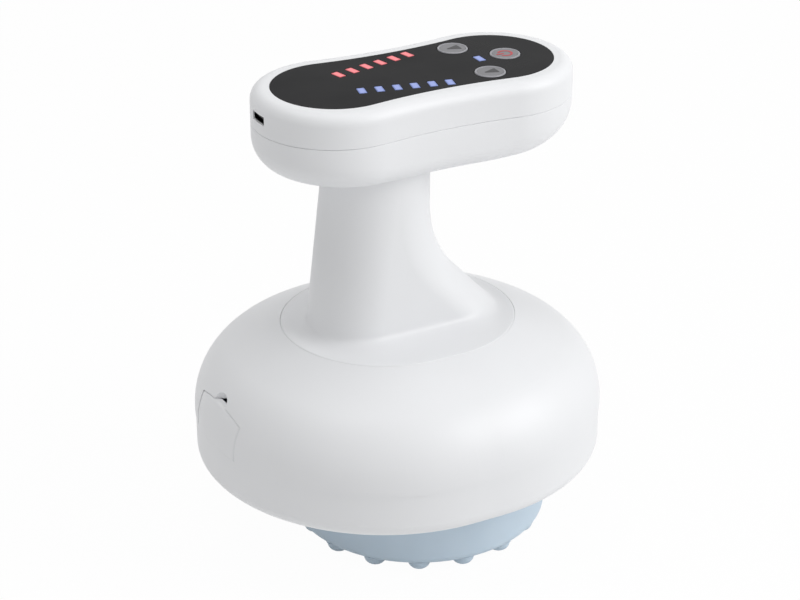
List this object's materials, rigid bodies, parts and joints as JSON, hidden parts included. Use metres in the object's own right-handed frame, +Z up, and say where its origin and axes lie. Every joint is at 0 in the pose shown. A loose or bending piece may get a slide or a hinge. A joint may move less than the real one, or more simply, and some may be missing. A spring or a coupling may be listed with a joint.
{
  "type": "cordless body massager",
  "caption": "Hand-held kneading massager: two-lobed handle with a key panel, swept neck, rounded motor housing and a spinning silicone head with round nubs.",
  "frame": {"origin": "on the massage head's axis, at the level of the nub tips that the massager stands on", "axes": "+Z up along the head's axis, +X towards the end of the handle that carries the keys, +Y towards the row of red lights"},
  "size_m": [0.1565, 0.1456, 0.1843],
  "materials": {
    "white_shell": "satin moulded ABS",
    "panel_glass": "gloss",
    "key_grey": "gloss",
    "red_lens": "translucent",
    "blue_lens": "translucent",
    "silicone": "matt silicone",
    "circuit_board": "solder mask",
    "steel": "zinc plated",
    "ground_steel": "ground",
    "bronze": "sintered",
    "brass": "machined",
    "nickel": "nickel plated",
    "ivory_plastic": "moulded acetal",
    "dark_plastic": "moulded",
    "cell_wrap": "shrink wrap",
    "chip_black": "moulded epoxy",
    "cable_black": "cable sheath"
  },
  "bodies": {
    "housing": {"handle_top_shell": "white_shell", "handle_bottom_shell": "white_shell", "neck_shell": "white_shell", "upper_shell": "white_shell", "base_shell": "white_shell", "control_panel": "panel_glass", "red_light_bars": "red_lens", "blue_light_bars": "blue_lens", "status_light": "blue_lens", "control_board": "circuit_board", "key_switches": "steel", "light_emitters": "ivory_plastic", "board_screws": "steel", "usb_socket": "steel", "neck_top_screws": "steel", "flange_screws": "steel", "shell_screws": "steel", "drive_plate": "dark_plastic", "plate_screws": "steel", "lower_bush": "bronze", "upper_bush": "bronze", "motor_can": "steel", "motor_bracket": "steel", "motor_screws": "steel", "battery_bay": "dark_plastic", "battery_cells": "cell_wrap", "battery_contacts": "nickel", "driver_board": "circuit_board", "driver_parts": "chip_black", "wiring_loom": "cable_black"},
    "head": {"massage_head": "silicone", "head_carrier": "ivory_plastic", "head_screw": "steel", "spindle": "ground_steel", "drive_gear": "ivory_plastic", "gear_clip": "ground_steel"},
    "pinion": {"drive_pinion": "brass", "motor_shaft": "ground_steel"},
    "power_key": {"power_key": "key_grey"},
    "rear_arrow_key": {"rear_arrow_key": "key_grey"},
    "front_arrow_key": {"front_arrow_key": "key_grey"},
    "side_cover": {"side_cover": "white_shell"}
  },
  "joints": [
    {"name": "head_spin", "type": "hinge", "parent": "housing", "child": "head", "pos_m": [0, 0, 0.03], "axis": [0, 0, 1], "continuous": true},
    {"name": "pinion_spin", "type": "hinge", "parent": "housing", "child": "pinion", "pos_m": [-0.00907, 0.03639, 0.07], "axis": [0, 0, 1], "continuous": true},
    {"name": "power_key_press", "type": "slide", "parent": "housing", "child": "power_key", "axis": [0, 0, -1], "range_m": [0, 0.0004], "stiffness_N_per_m": 1500},
    {"name": "rear_arrow_key_press", "type": "slide", "parent": "housing", "child": "rear_arrow_key", "axis": [0, 0, -1], "range_m": [0, 0.0004], "stiffness_N_per_m": 1500},
    {"name": "front_arrow_key_press", "type": "slide", "parent": "housing", "child": "front_arrow_key", "axis": [0, 0, -1], "range_m": [0, 0.0004], "stiffness_N_per_m": 1500},
    {"name": "side_cover_slide", "type": "slide", "parent": "housing", "child": "side_cover", "axis": [-1, 0, 0], "range_m": [0, 0.02]}
  ],
  "couplings": [
    {"joint": "pinion_spin", "follows": "head_spin", "ratio": -4}
  ]
}
